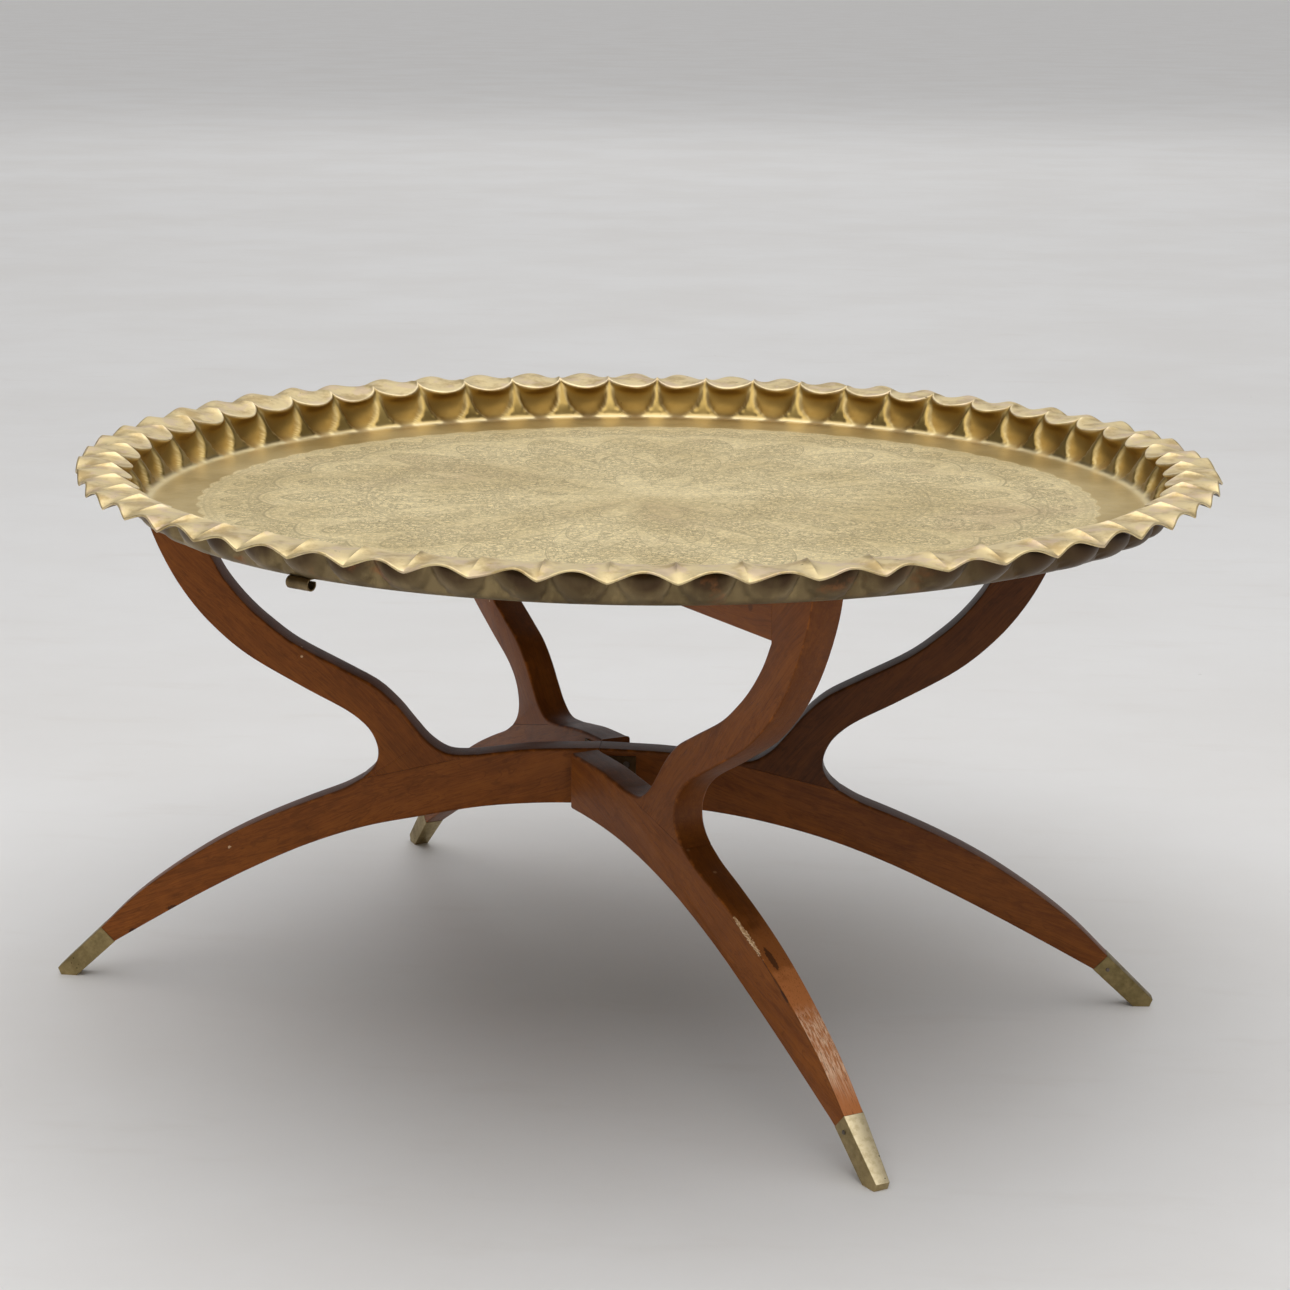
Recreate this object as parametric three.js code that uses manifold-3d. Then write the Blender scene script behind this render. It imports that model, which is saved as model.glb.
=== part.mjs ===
// Round scalloped brass tray on a folding wooden stand. Millimetres, +Z up, floor at z = 0.
// The main frame stands along X. The front and rear half frames hang on it by butt hinges.
import * as THREE from "three";
import { mergeVertices } from "three/addons/utils/BufferGeometryUtils.js";
import Module from "manifold-3d";

// Whole table
const TRAY_X = 24; // the tray lies loose, a little off the middle of the stand
const HUB = [-16, 17]; // centre of the stand
const TRAY_UNDERSIDE = 434;
const GAP = 0.3; // clearance between pieces that touch

// Boards of the stand
const BOARD = 27; // thickness
const ROUND = 4.5; // rounding of the long edges
const FOOT_START = 210; // where a leg starts to narrow
const FOOT_SHARE = [434, 0.63]; // share of the full thickness at the cap's joint
const TIP_SHARE = [473, 0.43]; // and at the tip of the foot
const RAIL_LOW = 379.5;
const RAIL_TOP = TRAY_UNDERSIDE - GAP;
const RAIL_END = 329; // seam between a top rail and an arm, from the hub
const ARM_TIP = 386;
const ARM_SEAM = [[123, 205], [203, 186]]; // glue line between leg and arm
const CAP_SEAM = [[421.5, 33], [433, 45]];
const CAP_WALL = 1.2;
const TENON = 40; // length of wood inside a foot cap
const NAIL_DOWN = 9; // from the cap's joint to its nail
const HOLLOW = { left: 6, right: 0, front: 0, rear: 0 }; // extra hollow under each hand-sawn leg

// Hinges
const OPEN_GAP = 1; // stub end to main frame when a half frame stands square
const AXIS_OFF = 2.9; // pin axis to wood, both ways
const AXIS_X = 4; // pin axis, sideways from the hub
const FOLD = { front: 32.8, rear: 30.3 }; // degrees from square, folded towards the main frame
const HINGE_Z = [194, 406.5];
const HINGE_TALL = 36;
const KNUCKLE_R = 2.4;
const PIN_R = 1.1;
const BORE_R = 1.45;
const LEAF = { near: 2.8, far: 27, inner: 1, outer: 2.6 };
const SCREW = { x: 19, z: 11, head: 2.9, shank: 1.5, length: 11 };

// Tray: wall and lip of one lobe, [radius, height over the floor] at mid-lobe and at a crease
const LOBES = 59;
const STEPS = 4; // columns per lobe
const FIRST_CREASE = 14; // degrees
const DRIFT = { once: -1.55, twice: 0.55 }; // degrees by which the creases drift from even spacing
const SHEET = 1.8;
const WARP = { rise: 2.2, over: 20 }; // the rim stands higher at the rear and lower at the front
const FLARE = { rise: 6.3, at: 147, from: 417, to: 458 }; // lip bent up round this angle
const SECTION = [
  { lobe: [405, 0], crease: [405, 0] },
  { lobe: [414, 3], crease: [413, 3.5] },
  { lobe: [423.5, 11.5], crease: [418.5, 12.5] },
  { lobe: [424, 21], crease: [426, 25] },
  { lobe: [417.5, 28], crease: [434, 35] },
  { lobe: [437, 30], crease: [449, 32.5] },
  { lobe: [457.5, 33], crease: [465, 28.5] },
];
const CREST_SHARPNESS = 3;
const EYE_RADIUS = 409; // hanging eye, from the tray's centre
const EYE_TURN = 56.2; // degrees from the -X side

const wasm = await Module();
wasm.setup();

const WOOD = new THREE.MeshStandardMaterial({ color: 0x6e4029, roughness: 0.45, metalness: 0 });
const DARK_WOOD = new THREE.MeshStandardMaterial({ color: 0x5f3623, roughness: 0.45, metalness: 0 });
const TRAY_BRASS = new THREE.MeshStandardMaterial({ color: 0xa08a4c, roughness: 0.35, metalness: 0.9 });
const CAP_BRASS = new THREE.MeshStandardMaterial({ color: 0x9a8450, roughness: 0.45, metalness: 0.9 });
const HINGE_BRASS = new THREE.MeshStandardMaterial({ color: 0x8c6f3a, roughness: 0.4, metalness: 0.9 });
const STEEL = new THREE.MeshStandardMaterial({ color: 0x6d6a66, roughness: 0.5, metalness: 0.9 });

const root = new THREE.Group();

function solidOf(geometry) {
  const bare = geometry.clone();
  bare.deleteAttribute("normal");
  bare.deleteAttribute("uv");
  const merged = mergeVertices(bare, 1e-3);
  return new wasm.Manifold(
    new wasm.Mesh({
      numProp: 3,
      vertProperties: merged.attributes.position.array,
      triVerts: new Uint32Array(merged.index.array),
    }),
  );
}

function addPiece(name, solid, material) {
  const made = solid.getMesh();
  const positions = new Float32Array(made.numVert * 3);
  for (let i = 0; i < made.numVert; i++) {
    const at = i * made.numProp;
    positions.set(made.vertProperties.subarray(at, at + 3), i * 3);
  }
  const geometry = new THREE.BufferGeometry();
  geometry.setAttribute("position", new THREE.BufferAttribute(positions, 3));
  geometry.setIndex(new THREE.BufferAttribute(made.triVerts, 1));
  geometry.computeVertexNormals();
  const mesh = new THREE.Mesh(geometry, material);
  mesh.name = name;
  root.add(mesh);
}

const points = (list) => list.map(([x, y]) => new THREE.Vector2(x, y));
const box = (x0, x1, y0, y1, z0, z1) =>
  wasm.Manifold.cube([x1 - x0, y1 - y0, z1 - z0]).translate([x0, y0, z0]);
const rodZ = (r, z0, z1, sides = 12) =>
  wasm.Manifold.cylinder(z1 - z0, r, r, sides).translate([0, 0, z0]);

// A shape drawn in the board's plane (x along the board, y up), thick along Y about y = 0.
function board(shape, thickness, round) {
  const geometry = new THREE.ExtrudeGeometry(shape, {
    depth: thickness - 2 * round,
    curveSegments: 1,
    bevelEnabled: round > 0,
    bevelThickness: round,
    bevelSize: round,
    bevelOffset: -round,
    bevelSegments: 2,
  });
  geometry.translate(0, 0, -(thickness - 2 * round) / 2);
  geometry.rotateX(Math.PI / 2);
  return geometry;
}

// Share of the board's thickness that a leg keeps at distance x from the hub.
function thicknessShare(x) {
  const [x1, share1] = FOOT_SHARE;
  const [x2, share2] = TIP_SHARE;
  if (x <= FOOT_START) return 1;
  if (x <= x1) return THREE.MathUtils.mapLinear(x, FOOT_START, x1, 1, share1);
  return THREE.MathUtils.mapLinear(x, x1, x2, share1, share2);
}

function narrowTowardsFoot(geometry, lowerThan, less = 0) {
  const at = geometry.attributes.position;
  for (let i = 0; i < at.count; i++) {
    if (at.getZ(i) > lowerThan) continue;
    const share = thicknessShare(at.getX(i)) - less / BOARD;
    at.setY(i, at.getY(i) * share);
  }
  return geometry;
}

// The side view of half the stand, from the hub out to one foot: arch, leg, arm and top rail.
function halfProfile(hollow) {
  const inside = -30; // past the hub, trimmed away later
  const raised = ([x, z]) => [x, z + hollow * Math.sin((Math.PI * (x - 150)) / (CAP_SEAM[0][0] - 150))];
  const shape = new THREE.Shape();
  shape.moveTo(inside, 169.5);
  shape.lineTo(0, 169.5);
  shape.splineThru(points([[50, 168.5], [100, 164], [150, 154.5],
    ...[[200, 140.5], [248, 122], [296, 99.5], [343, 75.5], [384, 53.5]].map(raised), CAP_SEAM[0]]));
  shape.lineTo(457, 0);
  shape.lineTo(470.5, 0);
  shape.lineTo(473, 6);
  shape.lineTo(...CAP_SEAM[1]);
  shape.splineThru(points([[405, 72.5], [372, 98.5], [330, 126], [290, 147], [250, 164.5], [220, 176.5],
    ARM_SEAM[1], [194, 194.5], [189, 204], [189, 215], [194, 227], [203, 237], [218, 247.5], [252, 265.5],
    [299, 293], [331, 321], [353, 349], [369, 378], [380, 406], [ARM_TIP, RAIL_TOP]]));
  shape.lineTo(inside, RAIL_TOP);
  shape.lineTo(inside, RAIL_LOW);
  shape.lineTo(RAIL_END, RAIL_LOW);
  shape.splineThru(points([[317, 358], [299, 336], [279, 318], [256, 301.5], [215, 280.5], [190, 267],
    [172, 251], [158, 234], [145, 219.5], [129, 210], [108, 209.5], [84, 212.5], [54, 216], [0, 218]]));
  shape.lineTo(inside, 218);
  return shape;
}

// Keeps the side of a line (from a to b, seen in the board's plane) that lies to its left.
function leftOf(solid, [ax, az], [bx, bz], shift) {
  const length = Math.hypot(bx - ax, bz - az);
  const normal = [-(bz - az) / length, 0, (bx - ax) / length];
  return solid.trimByPlane(normal, normal[0] * ax + normal[2] * az + shift);
}

// A point of the foot cap: so far down the foot from the joint, and so far in from its lower or upper edge.
function onFoot(edge, along, inward) {
  const [low, high] = CAP_SEAM;
  const across = new THREE.Vector2(high[0] - low[0], high[1] - low[1]).normalize();
  const down = new THREE.Vector2(across.y, -across.x);
  const side = edge === low ? 1 : -1;
  return [
    edge[0] + down.x * along + across.x * inward * side,
    edge[1] + down.y * along + across.y * inward * side,
  ];
}

// The tapered core of a foot, inset from the cap's outside, reaching back into the leg.
function footCore(inset) {
  const [low, high] = CAP_SEAM;
  const reach = TENON + CAP_WALL + GAP - inset;
  const back = -6;
  const shape = new THREE.Shape(points([
    onFoot(low, back, inset + 1), onFoot(low, 0, inset), onFoot(low, reach, inset),
    onFoot(high, reach, inset), onFoot(high, 0, inset), onFoot(high, back, inset + 1),
  ]));
  return solidOf(narrowTowardsFoot(board(shape, BOARD, 0), ARM_SEAM[1][1] - 1, 2 * inset));
}

// One half of the stand as separate boards, still lying on y = 0 with the hub at x = 0.
function halfFrame(startsAt, hollow) {
  const whole = solidOf(narrowTowardsFoot(board(halfProfile(hollow), BOARD, ROUND), ARM_SEAM[1][1] - 1))
    .trimByPlane([1, 0, 0], startsAt);
  const [armA, armB] = ARM_SEAM;
  const [capLow, capHigh] = CAP_SEAM;
  const below = leftOf(whole, armB, armA, GAP / 2);
  const above = leftOf(whole, armA, armB, GAP / 2);
  const width = Math.hypot(capHigh[0] - capLow[0], capHigh[1] - capLow[1]);
  const nailAt = onFoot(capLow, NAIL_DOWN, width / 2);
  const half = (BOARD * thicknessShare(nailAt[0] - 2)) / 2;
  const [nail, nailHole] = capNail(nailAt, half);
  const leg = leftOf(below, capLow, capHigh, 0)
    .add(footCore(CAP_WALL + GAP))
    .subtract(nailHole);
  const cap = leftOf(below, capHigh, capLow, GAP)
    .subtract(footCore(CAP_WALL))
    .subtract(nailHole);
  const arm = above.subtract(box(startsAt - 1, RAIL_END, -BOARD, BOARD, RAIL_LOW - GAP, RAIL_TOP + 1));
  const rail = above.intersect(box(startsAt - 1, RAIL_END - GAP, -BOARD, BOARD, RAIL_LOW, RAIL_TOP + 1));
  return { leg, arm, rail, cap, nail };
}

// A small round-headed nail into the side of a foot cap, and its hole.
function capNail([x, z], half) {
  const profile = points([[0, -6.5], [0.9, -5], [0.9, GAP], [1.8, GAP], [1.6, 0.9], [0.9, 1.25], [0, 1.35]]);
  const nail = new THREE.LatheGeometry(profile, 10).rotateX(Math.PI).translate(x, -half, z);
  const hole = rodZ(1.2, -7, 2).rotate([90, 0, 0]).translate([x, -half, z]);
  return [solidOf(nail), hole];
}

// Countersunk slotted screw along -Y with its head at y = 0, and the clearance it needs.
function screw() {
  const { head, shank, length } = SCREW;
  const deep = LEAF.outer - LEAF.inner;
  const profile = points([[0, -length], [shank, -length + 2], [shank, -deep], [head, -0.1], [head, 0], [0, 0]]);
  const slot = box(-head - 1, head + 1, -0.6, 1, -0.35, 0.35);
  return solidOf(new THREE.LatheGeometry(profile, 10)).subtract(slot);
}

function screwHole() {
  const { head, shank, length } = SCREW;
  const deep = LEAF.outer - LEAF.inner;
  const profile = points([[0, -length - 0.5], [shank + 0.25, -length - 0.5], [shank + 0.25, -deep],
    [head + 0.25, 0], [head + 0.25, 0.5], [0, 0.5]]);
  return solidOf(new THREE.LatheGeometry(profile, 10));
}

// A hinge leaf with its pin on the Z axis, its plate at positive y and its knuckles in the given spans.
function leaf(spans) {
  const tall = HINGE_TALL / 2;
  let made = box(LEAF.near, LEAF.far, LEAF.inner, LEAF.outer, -tall, tall);
  for (const [z0, z1] of spans) {
    const web = box(0, LEAF.near + 1, LEAF.inner, LEAF.outer - 0.2, z0, z1);
    made = made.add(rodZ(KNUCKLE_R, z0, z1)).add(web);
  }
  made = made.subtract(rodZ(BORE_R, -tall - 1, tall + 1));
  for (const place of screwPlaces()) made = made.subtract(place(screwHole()));
  return made;
}

// The two screws of a leaf whose plate is at positive y: heads at the inner face, points towards +y.
function screwPlaces() {
  return [-1, 1].map((side) => (solid) =>
    solid.rotate([180, 0, 0]).translate([SCREW.x, LEAF.inner, side * SCREW.z]));
}

const flipY = (solid) => solid.mirror([0, 1, 0]);

function hinge() {
  const third = HINGE_TALL / 6;
  const tall = HINGE_TALL / 2;
  const fixed = leaf([[-tall, -third - 0.2], [third + 0.2, tall]]);
  const moving = flipY(leaf([[-third + 0.2, third - 0.2]]));
  const pin = rodZ(PIN_R, -tall - 1, tall + 1).add(rodZ(1.9, tall + 0.35, tall + 1.3));
  return { fixed, moving, pin };
}

function tray() {
  const columns = LOBES * STEPS;
  const floor = TRAY_UNDERSIDE + SHEET;
  const rings = [];
  for (let i = 0; i < columns; i++) {
    const phase = (i % STEPS) / STEPS;
    const crest = Math.abs(Math.cos(Math.PI * phase)) ** CREST_SHARPNESS;
    const cusp = 1 - Math.sin(Math.PI * phase);
    const top = SECTION.map(({ lobe, crease }, k) => {
      const share = k === SECTION.length - 1 ? cusp : crest;
      return [lobe[0] + (crease[0] - lobe[0]) * share, floor + lobe[1] + (crease[1] - lobe[1]) * share];
    });
    rings.push([...top, ...sheetUnder(top).reverse()]);
  }
  const positions = [];
  const faces = [];
  const count = rings[0].length;
  rings.forEach((ring, i) => {
    const even = (i / columns) * 2 * Math.PI;
    const drift = FIRST_CREASE + DRIFT.once * Math.cos(even) + DRIFT.twice * Math.cos(2 * even);
    const angle = even + THREE.MathUtils.degToRad(drift);
    for (const [r, z] of ring) {
      positions.push(r * Math.cos(angle), r * Math.sin(angle), z + bend(r, z - floor, angle));
    }
  });
  const topCentre = columns * count;
  positions.push(0, 0, floor, 0, 0, TRAY_UNDERSIDE);
  for (let i = 0; i < columns; i++) {
    const a = i * count;
    const b = ((i + 1) % columns) * count;
    faces.push(topCentre, a, b, topCentre + 1, b + count - 1, a + count - 1);
    for (let k = 0; k < count - 1; k++) {
      faces.push(a + k, a + k + 1, b + k + 1, a + k, b + k + 1, b + k);
    }
  }
  return new wasm.Manifold(
    new wasm.Mesh({
      numProp: 3,
      vertProperties: new Float32Array(positions),
      triVerts: new Uint32Array(faces),
    }),
  ).translate([TRAY_X, 0, 0]);
}

// How far the tray's hand-beaten rim stands out of true, at a radius, height over the floor and angle.
function bend(r, height, angle) {
  const { smoothstep, degToRad } = THREE.MathUtils;
  const warp = WARP.rise * Math.sin(angle) * smoothstep(height, 0, WARP.over);
  const towards = Math.max(0, Math.cos(angle - degToRad(FLARE.at)));
  return warp + FLARE.rise * towards ** 2 * smoothstep(r, FLARE.from, FLARE.to);
}

// The sheet's lower surface: the upper section moved outwards and down by the sheet's thickness.
function sheetUnder(top) {
  const normals = top.slice(1).map(([r, z], i) => {
    const run = new THREE.Vector2(r - top[i][0], z - top[i][1]).normalize();
    return new THREE.Vector2(run.y, -run.x);
  });
  return top.map(([r, z], i) => {
    const before = i === 0 ? new THREE.Vector2(0, -1) : normals[i - 1];
    const after = normals[Math.min(i, normals.length - 1)];
    const mitre = before.clone().add(after).normalize();
    const reach = SHEET / Math.max(0.5, mitre.dot(before));
    return [r + mitre.x * reach, z + mitre.y * reach];
  });
}

// Rolled brass eye soldered under the tray's edge, its tube along the rim.
function hangingEye() {
  const outer = 4.8;
  const wall = 1.1;
  const tab = 15;
  const long = 21;
  const curlEnd = THREE.MathUtils.degToRad(90 - 290);
  const shape = new THREE.Shape();
  shape.moveTo(-tab, outer);
  shape.lineTo(0, outer);
  shape.absarc(0, 0, outer, Math.PI / 2, curlEnd, true);
  shape.absarc(0, 0, outer - wall, curlEnd, Math.PI / 2, false);
  shape.lineTo(-tab, outer - wall);
  const geometry = new THREE.ExtrudeGeometry(shape, { depth: long, bevelEnabled: false, curveSegments: 9 });
  return solidOf(geometry.translate(0, 0, -long / 2).rotateX(Math.PI / 2).rotateZ(Math.PI))
    .translate([-EYE_RADIUS, 0, TRAY_UNDERSIDE - GAP - outer])
    .rotate([0, 0, EYE_TURN])
    .translate([TRAY_X, 0, 0]);
}

// Boards of the main frame, with pilot holes for the fixed leaves
const aroundHub = (solid, turn) => solid.rotate([0, 0, turn]).translate([HUB[0], HUB[1], 0]);
const axisShift = BOARD / 2 + AXIS_OFF;
const toFixed = (solid, z) => solid.translate([AXIS_X, -axisShift, z]);
const { fixed, moving, pin } = hinge();
const sides = { front: 0, rear: 180 };

const mainHoles = [];
for (const turn of Object.values(sides)) {
  for (const z of HINGE_Z) {
    for (const place of screwPlaces()) mainHoles.push(aroundHub(toFixed(place(screwHole()), z), turn));
  }
}
const drilled = (solid, holes) => holes.reduce((left, hole) => left.subtract(hole), solid);

const halves = { right: 0, left: 180 };
for (const [side, turn] of Object.entries(halves)) {
  const half = halfFrame(GAP / 2, HOLLOW[side]);
  addPiece(`main_leg_${side}`, drilled(aroundHub(half.leg, turn), mainHoles), WOOD);
  addPiece(`main_arm_${side}`, aroundHub(half.arm, turn), DARK_WOOD);
  addPiece(`foot_cap_${side}`, aroundHub(half.cap, turn), CAP_BRASS);
  addPiece(`cap_nail_${side}`, aroundHub(half.nail, turn), STEEL);
}
const railRight = halfFrame(-1, 0).rail;
const mainRail = railRight.add(railRight.rotate([0, 0, 180]));
addPiece("main_top_rail", drilled(aroundHub(mainRail, 0), mainHoles), WOOD);

// Half frames: drawn from the pin axis, folded, then set on either side of the hub
const startsAt = BOARD / 2 + OPEN_GAP;
for (const [side, turn] of Object.entries(sides)) {
  const half = halfFrame(startsAt, HOLLOW[side]);
  const toPivot = (solid) => solid.translate([-axisShift, -axisShift, 0]);
  const place = (solid) =>
    aroundHub(solid.rotate([0, 0, FOLD[side] - 90]).translate([AXIS_X, -axisShift, 0]), turn);
  const holes = HINGE_Z.flatMap((z) =>
    screwPlaces().map((at) => flipY(at(screwHole())).translate([0, 0, z])));
  addPiece(`${side}_leg`, place(drilled(toPivot(half.leg), holes)), WOOD);
  addPiece(`${side}_arm`, place(toPivot(half.arm)), DARK_WOOD);
  addPiece(`${side}_top_rail`, place(drilled(toPivot(half.rail), holes)), WOOD);
  addPiece(`foot_cap_${side}`, place(toPivot(half.cap)), CAP_BRASS);
  addPiece(`cap_nail_${side}`, place(toPivot(half.nail)), STEEL);
  HINGE_Z.forEach((z, i) => {
    const level = ["lower", "upper"][i];
    addPiece(`${side}_${level}_hinge_fixed_leaf`, aroundHub(toFixed(fixed, z), turn), HINGE_BRASS);
    addPiece(`${side}_${level}_hinge_moving_leaf`, place(moving.translate([0, 0, z])), HINGE_BRASS);
    addPiece(`${side}_${level}_hinge_pin`, aroundHub(toFixed(pin, z), turn), STEEL);
    screwPlaces().forEach((at, k) => {
      const mark = ["a", "b"][k];
      addPiece(`${side}_${level}_fixed_screw_${mark}`, aroundHub(toFixed(at(screw()), z), turn), STEEL);
      const moved = place(flipY(at(screw())).translate([0, 0, z]));
      addPiece(`${side}_${level}_moving_screw_${mark}`, moved, STEEL);
    });
  });
}

addPiece("tray", tray(), TRAY_BRASS);
addPiece("hanging_eye", hangingEye(), CAP_BRASS);

export default root;
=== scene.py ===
"""Round scalloped brass tray on a folding wooden stand: the looks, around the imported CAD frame."""
import math

import bpy
import numpy as np
from mathutils import Matrix, Vector


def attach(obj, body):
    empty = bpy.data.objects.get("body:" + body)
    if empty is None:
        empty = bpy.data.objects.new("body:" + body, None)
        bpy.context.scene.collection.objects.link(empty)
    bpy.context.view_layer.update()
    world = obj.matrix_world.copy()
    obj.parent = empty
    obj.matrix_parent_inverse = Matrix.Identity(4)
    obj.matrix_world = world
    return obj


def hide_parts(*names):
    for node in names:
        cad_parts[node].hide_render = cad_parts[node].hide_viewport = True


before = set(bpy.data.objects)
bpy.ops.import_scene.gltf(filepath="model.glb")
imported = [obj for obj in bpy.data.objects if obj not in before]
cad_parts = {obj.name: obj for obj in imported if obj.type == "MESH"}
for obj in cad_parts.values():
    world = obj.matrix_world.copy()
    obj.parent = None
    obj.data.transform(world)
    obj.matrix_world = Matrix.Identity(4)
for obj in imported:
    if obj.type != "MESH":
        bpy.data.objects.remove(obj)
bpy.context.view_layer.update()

MM = 0.001
RNG = np.random.default_rng(59)

# Stand, as in the CAD model (millimetres)
HUB = (-16.0, 17.0)
BOARD = 27.0
ROUND = 2.6  # rounding of the long edges near the hub
ROUND_FOOT = 1.3  # and near the foot
FOOT_START = 210.0
FOOT_SHARE = (434.0, 0.63)
TIP_SHARE = (473.0, 0.43)
RAIL_LOW = 379.5
RAIL_TOP = 433.7
RAIL_END = 329.0
ARM_TIP = 386.0
ARM_SEAM = ((123.0, 205.0), (203.0, 186.0))
CAP_SEAM = ((421.5, 33.0), (433.0, 45.0))
SOLE = ((457.0, 0.0), (470.5, 0.0), (473.0, 6.0))
ARCH_LOW = 169.5  # underside and top of the arch over the hub
ARCH_TOP = 218.0
ARCH_END = 150.0
PAST_SEAM = (145.0, 260.0)
UNDER_SEAM = 150.0
HOLLOW = {"left": 6.0, "right": 0.0, "front": 0.0, "rear": 0.0}
FOLD = {"front": 32.8, "rear": 30.3}
AXIS = (4.0, -16.4)  # pin axis from the hub
GAP = 0.3

# Tray
TRAY_CENTRE = (24.0, 0.0)
TRAY_UNDERSIDE = 434.0
SHEET = 1.8
VISUAL_SHEET = 0.85  # share of the CAD sheet's thickness that is shown, thin enough for the tight crest
LOBES = 59
PER_LOBE = 24
FIRST_CREASE = 14.0  # degrees
DRIFT = (-1.55, 0.55)  # degrees by which the creases drift from even spacing, once and twice round
FLAT = 384.0  # radius up to which the floor lies flat
WARP = 2.2  # the rim stands this much high at the rear and low at the front, from FLAT out
WARP_FULL = 405.0
FLARE = (6.3, 147.0, 417.0, 458.0)  # the lip is bent up by this much, at this angle, between these radii
BULGE = (8.0, -30.0, 14.0)  # the wall is pushed out by this much, at this angle, over this half-width


# ---------------------------------------------------------------- materials

def shade(colour, factor):
    """The colour, darker or lighter by the factor."""
    return tuple(min(1, c * factor) for c in colour)


def set_stops(node, stops):
    """Sets a colour ramp's stops: (position, colour) pairs in rising order."""
    elements = node.color_ramp.elements
    while len(elements) < len(stops):
        elements.new(0.5)
    for element, (at, colour) in zip(elements, stops):
        element.position = at
        element.color = (*colour, 1)


class Nodes:
    """A material's node tree, written as calls that return node outputs."""

    def __init__(self, name):
        self.material = bpy.data.materials.new(name)
        self.material.use_nodes = True
        self.tree = self.material.node_tree
        self.shader = self.tree.nodes["Principled BSDF"]
        self.where = self.add("TexCoord", out="Object")

    def add(self, kind, inputs=None, out=0, **settings):
        node = self.tree.nodes.new("ShaderNode" + kind)
        for key, value in settings.items():
            setattr(node, key, value)
        for key, value in (inputs or {}).items():
            self.put(node.inputs[key], value)
        return node.outputs[out]

    def put(self, socket, value):
        if isinstance(value, bpy.types.NodeSocket):
            self.tree.links.new(value, socket)
        else:
            socket.default_value = value

    def set(self, **inputs):
        for key, value in inputs.items():
            self.put(self.shader.inputs[key.replace("_", " ")], value)
        return self.material

    def place(self, scale=(1, 1, 1), turn=(0, 0, 0), shift=(0, 0, 0), source=None):
        turn = tuple(math.radians(t) for t in turn)
        return self.add("Mapping", {"Vector": source or self.where, "Scale": scale, "Rotation": turn,
                                    "Location": shift})

    def noise(self, where, scale, detail=4.0, rough=0.5, distort=0.0, out=0):
        return self.add("TexNoise", {"Vector": where, "Scale": scale, "Detail": detail,
                                     "Roughness": rough, "Distortion": distort}, out=out)

    def cells(self, where, scale, feature="F1", out=0, **inputs):
        return self.add("TexVoronoi", {"Vector": where, "Scale": scale, **inputs}, out=out, feature=feature)

    def math(self, operation, *values, clamp=False):
        inputs = dict(enumerate(values))
        return self.add("Math", inputs, operation=operation, use_clamp=clamp)

    def times(self, a, b):
        return self.math("MULTIPLY", a, b)

    def ramp(self, value, *stops):
        node = self.tree.nodes.new("ShaderNodeValToRGB")
        set_stops(node, [(at, (grey, grey, grey)) for at, grey in stops])
        self.tree.links.new(value, node.inputs[0])
        return node.outputs[0]

    def steps(self, value, low, high, to_low=0.0, to_high=1.0):
        """value from low..high, mapped smoothly to to_low..to_high."""
        return self.add("MapRange", {"Value": value, "From Min": low, "From Max": high, "To Min": to_low,
                                     "To Max": to_high}, interpolation_type="SMOOTHSTEP")

    def mix(self, share, a, b, blend="MIX"):
        node = self.tree.nodes.new("ShaderNodeMix")
        node.data_type = "RGBA"
        node.blend_type = blend
        self.put(node.inputs[0], share)
        for socket, value in ((node.inputs[6], a), (node.inputs[7], b)):
            self.put(socket, (*value, 1) if isinstance(value, tuple) else value)
        return node.outputs[2]

    def blend(self, share, a, b):
        return self.add("Mix", {0: share, 2: a, 3: b})

    def attribute(self, name):
        return self.add("Attribute", out="Fac", attribute_name=name)

    def blob(self, centre, size, slope=0.0, ragged=0.7, scale=420):
        """1 inside a ragged ellipsoid that leans by slope degrees, millimetres in the object's own frame."""
        centre = Matrix.Rotation(math.radians(slope), 3, "Y") @ Vector(centre)
        leaning = self.place(turn=(0, slope, 0))
        away = self.add("VectorMath", {0: leaning, 1: tuple(c * MM for c in centre)}, operation="SUBTRACT")
        away = self.add("VectorMath", {0: away, 1: tuple(c * MM for c in size)}, operation="DIVIDE")
        away = self.add("VectorMath", {0: away}, out=1, operation="LENGTH")
        rough_edge = self.math("SUBTRACT", self.noise(self.where, scale, 4, 0.6), 0.5)
        rough_edge = self.times(rough_edge, ragged * 4)
        return self.steps(self.math("ADD", away, rough_edge), 1.1, 0.9)

    def spots(self, scale, sizes, patch, detail, patches, where=None):
        """Scattered spots between the two sizes, only in patches of a broader noise."""
        spot = self.steps(self.cells(where or self.where, scale), *sizes)
        return self.times(spot, self.steps(self.noise(self.where, patch, detail), *patches))

    def line(self, value, middle, wide, narrow):
        """A line where value passes middle, faint at wide and full at narrow."""
        return self.steps(self.math("ABSOLUTE", self.math("SUBTRACT", value, middle)), wide, narrow)

    def components(self, vector):
        return self.add("SeparateXYZ", {0: vector}).node.outputs

    def facing(self):
        """The surface normal's x, y and z in the object's own frame."""
        return self.components(self.add("TexCoord", out="Normal"))

    def bump(self, height, strength, distance, normal=None):
        inputs = {"Height": height, "Strength": strength, "Distance": distance}
        if normal is not None:
            inputs["Normal"] = normal
        return self.add("Bump", inputs)


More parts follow.
